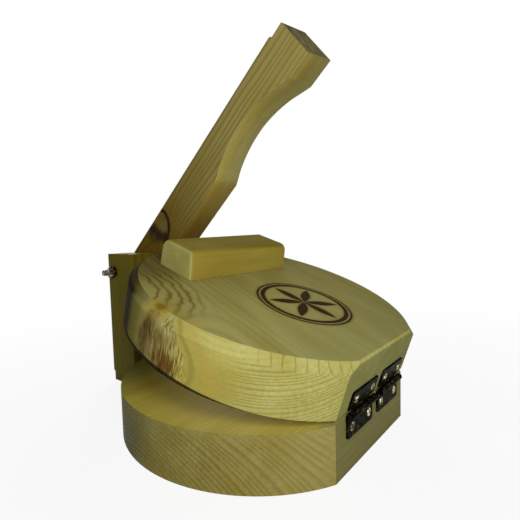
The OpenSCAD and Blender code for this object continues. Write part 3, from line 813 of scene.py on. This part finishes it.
# %% Steel finishes
def steel(name, tone, worn, worn_spot_and_glint, rough, cloud, edge):
    """Plated or bronzed steel, cloudy in colour and gloss, with painted glints in its brightest patches. A
    cloud is so many millimetres wide.
    """
    material, tree, place = new_material(name)
    clouds = add(tree, "TexNoise", place["Object"], Scale=1 / (cloud * MM), Detail=4.0)
    # the brightest stop is partly worn metal and partly a painted glint
    colour = add(tree, "ValToRGB", clouds, stops=[(0.38, tone), (0.54, worn), (0.64, worn_spot_and_glint)])
    gloss = add(tree, "MapRange", clouds, 0.3, 0.7, rough, rough + 0.2)
    bump = add(tree, "Bump", Height=clouds, Distance=0.03 * MM, Strength=0.5)
    fill(tree, tree.nodes["Principled BSDF"], {"Base Color": colour, "Roughness": gloss, "Normal": bump,
        "Metallic": 1.0, "Specular Tint": (edge, edge, edge, 1.0)})
    return material


bronzed = steel("bronzed_steel", "#0b0c09", "#15160f", "#4a4732", 0.3, 2.6, 0.5)
zinc = steel("zinc_plated_steel", "#33322c", "#66645a", "#c5c1ac", 0.2, 2, 0.7)
screwed = steel("worn_and_glinting_screw_steel", "#2b2717", "#978e66", "#fff4cc", 0.16, 1.9, 0.7)
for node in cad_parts:
    if "leaf" in node or "pin" in node:
        dress(node, bronzed)
        sand(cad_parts[node], 0.25 if "leaf" in node else 0.3)
dress("pivot_nut", zinc)
print("metal finishes:", bronzed.name, zinc.name, screwed.name)

# %% [markdown]
# ## Screws and the bolt
# The screws are oval heads with a cross recess, sunk in the leaves. The bolt has
# a quarter-inch coarse thread, 1.27 mm from turn to turn. Both are turned pieces:
# a row of rings, each ring a loop of points at a given distance from the axis.
# The recess lowers the points that lie in the cross, and the thread moves the
# points in and out as it winds.

# %% Oval-head screws in the hinges
FLAT_X, PIN_HIGH, MIDDLES = 104.8454, 39.1, {"near": -23.8, "far": 23.8}
BESIDE_PIN, BETWEEN, DRIVEN = 9.4, 12.6, {-1: math.radians(-7), 1: math.radians(27)}
HEAD, SHANK, LONG, LEAF, CROWN, EDGE = 3.0, 1.45, 15.0, 1.5, 0.85, 0.12
CROSS_WIDE, CROSS_LONG, CROSS_DEEP = 0.42, 1.75, 0.75
profile = [(0.3, -LONG), (SHANK, 2 - LONG), (SHANK, 0.0), (HEAD, LEAF - 0.05), (HEAD, LEAF + EDGE)]
profile += [(HEAD * k / 14, LEAF + EDGE + CROWN * (1 - (k / 14) ** 2)) for k in range(13, 0, -1)]
for side, middle in MIDDLES.items():
    for board, way in [("base", -1), ("lid", 1)]:
        form = bmesh.new()
        for end, driven in DRIVEN.items():
            seat = Vector((FLAT_X, middle + end * BETWEEN, PIN_HIGH + way * BESIDE_PIN)) * MM
            seat = Matrix.Translation(seat) @ Matrix.Rotation(math.pi / 2, 4, "Y")
            seat = OPEN @ seat if board == "lid" else seat
            rows = []
            for radius, high in profile:
                rows.append([])
                for a in circle:
                    p, q = abs(radius * math.cos(a - driven)), abs(radius * math.sin(a - driven))
                    crossed = high > LEAF + 0.2 and min(p, q) < CROSS_WIDE and max(p, q) < CROSS_LONG
                    point = (radius * math.cos(a), radius * math.sin(a), high - CROSS_DEEP * crossed)
                    rows[-1].append(seat @ (Vector(point) * MM))
            skin(form, rows)
        screws = settle(form, f"oval_screws_{side}_{board}", screwed, board, f"{side}_hinge_{board}_screws")
        screws.data.shade_smooth()
print("eight screws turned, heads", 2 * HEAD, "mm wide")

# %% The threaded bolt
HALF, BOLT, PITCH, OVER, THREAD_DEEP, TAPER = 43.3, 3.175, 1.27, 12.9, 0.62, 0.78
CAP_WIDE, CAP_HIGH, NECK, AROUND = 7.5, 3.8, 3.5, 32


def bolt_ring(along, reach):
    """A ring of the bolt at a place along it. reach gives the radius at each angle."""
    turns = [2 * math.pi * i / AROUND for i in range(AROUND)]
    return [LEVER_PIN + Vector((reach(a) * math.cos(a), along, reach(a) * math.sin(a))) * MM for a in turns]


rows = [bolt_ring(HALF + CAP_HIGH * math.cos(t), lambda a: CAP_WIDE * math.sin(t))
    for t in (0.02, 0.3, 0.6, 0.9, 1.2, 1.45, 1.57)]
for along in (HALF - 0.01, HALF - NECK):
    rows.append(bolt_ring(along, lambda a: BOLT / max(abs(math.cos(a)), abs(math.sin(a)))))
for along in (HALF - NECK - 0.1, 6.0 - HALF):
    rows.append(bolt_ring(along, lambda a: BOLT))
along = 5.8 - HALF
while along > -HALF - OVER:
    taper = min(1.0, TAPER + (along + HALF + OVER) * 0.3)
    rows.append(bolt_ring(along, lambda a: taper * (BOLT - THREAD_DEEP
        * abs(2 * ((along / PITCH + a / (2 * math.pi)) % 1) - 1))))
    along -= PITCH / 6
form = bmesh.new()
skin(form, rows)
settle(form, "threaded_bolt", zinc, "base", "pivot_bolt").data.shade_smooth()
print("bolt with", round((OVER + 5.8) / PITCH), "turns of thread")

# %% [markdown]
# ## The floor
# A plain pale floor. The camera and the metal see it nearly white, and wholly
# white in the distance. Near the press it keeps a little of its own shading, so
# the press throws a soft shadow on it.

# %% The floor
paper, tree, place = new_material("pale_paper_floor")
grain = add(tree, "TexNoise", place["Object"], Scale=40.0, Detail=3.0)
grain = add(tree, "ValToRGB", grain, stops=[(0.3, "#f1f0ee"), (0.7, "#f6f5f3")])
fill(tree, tree.nodes["Principled BSDF"], {"Base Color": grain, "Roughness": 0.8})
white = add(tree, "Emission", Color=(1, 1, 1, 1), Strength=1.0)
far_off = add(tree, "VectorMath", place["Object"], operation="LENGTH")
far_off = add(tree, "MapRange", far_off, 0.15, 0.6, 0.9, 1.0)
path = add(tree, "LightPath").node.outputs
seen = add(tree, "Math", path["Is Camera Ray"], path["Is Glossy Ray"], operation="MAXIMUM")
seen = add(tree, "Math", far_off, seen, operation="MULTIPLY")
mixed = add(tree, "MixShader", seen, tree.nodes["Principled BSDF"].outputs[0], white)
fill(tree, tree.nodes["Material Output"], {"Surface": mixed})
form = bmesh.new()
bmesh.ops.create_grid(form, x_segments=8, y_segments=8, size=4.0)
floor_mesh = bpy.data.meshes.new("floor")
form.to_mesh(floor_mesh)
form.free()
floor_mesh.materials.append(paper)
floor = bpy.data.objects.new("floor", floor_mesh)
floor.location.z = -0.2 * MM
bpy.context.scene.collection.objects.link(floor)
print("floor laid")

# %% [markdown]
# ## Light
# Soft studio lamps. The one beside the camera is the nearest, because the sides
# that face the camera are the brightest. Two larger ones stand behind, one high
# and one low, and the white world fills a little from all sides.

# %% The lamps
LAMPS = {
    "beside_camera": ((0.38, -0.28, 0.30), 0.20, 1.30),
    "behind": ((-0.70, 0.80, 0.60), 0.60, 2.4),
    "low_behind": ((-0.85, 0.70, 0.30), 0.50, 6.0),
}
AIM = Vector((0, 0, 0.09))
for name, (stand, size, power) in LAMPS.items():
    light = bpy.data.lights.new(name, "AREA")
    light.size, light.energy = size, power
    lamp = bpy.data.objects.new(name, light)
    lamp.location = stand
    lamp.rotation_mode = "QUATERNION"
    lamp.rotation_quaternion = (AIM - Vector(stand)).to_track_quat("-Z", "Y")
    bpy.context.scene.collection.objects.link(lamp)
print("lamps:", ", ".join(LAMPS))

# %% The world
world = bpy.data.worlds.new("studio")
bpy.context.scene.world = world
world.use_nodes = True
air = world.node_tree
path = add(air, "LightPath").node.outputs
seen = add(air, "Math", path["Is Camera Ray"], path["Is Glossy Ray"], operation="MAXIMUM")
seen = add(air, "Math", seen, path["Is Transmission Ray"], operation="MAXIMUM")
level = add(air, "MapRange", seen, 0.0, 1.0, 0.09, 1.0)
fill(air, air.nodes["Background"], {"Strength": level, "Color": (1, 1, 1, 1)})
print("the world is white to the camera and dim to the press")

# %% [markdown]
# ## The camera
# It looks down by four degrees from close by, over the hinge side. The numbers
# are its real place and aim, and a wide lens.

# %% Camera
YAW, DIP, ROLL = math.radians(129.6), math.radians(3.9), math.radians(-1.5)
eye = bpy.data.cameras.new("view")
eye.sensor_width, eye.lens, eye.clip_start = 36.0, 26.54, 0.01
camera = bpy.data.objects.new("view", eye)
ahead = Vector((math.cos(DIP) * math.cos(YAW), math.cos(DIP) * math.sin(YAW), -math.sin(DIP)))
right = ahead.cross(Vector((0, 0, 1))).normalized()
up = right.cross(ahead)
right, up = math.cos(ROLL) * right + math.sin(ROLL) * up, math.cos(ROLL) * up - math.sin(ROLL) * right
turn = Matrix((right, up, -ahead)).transposed()
camera.matrix_world = Matrix.Translation((0.21632, -0.25956, 0.15647)) @ turn.to_4x4()
bpy.context.scene.collection.objects.link(camera)
bpy.context.scene.camera = camera
bpy.context.scene.view_settings.view_transform = "Standard"
print("camera at", [round(v, 3) for v in camera.location])
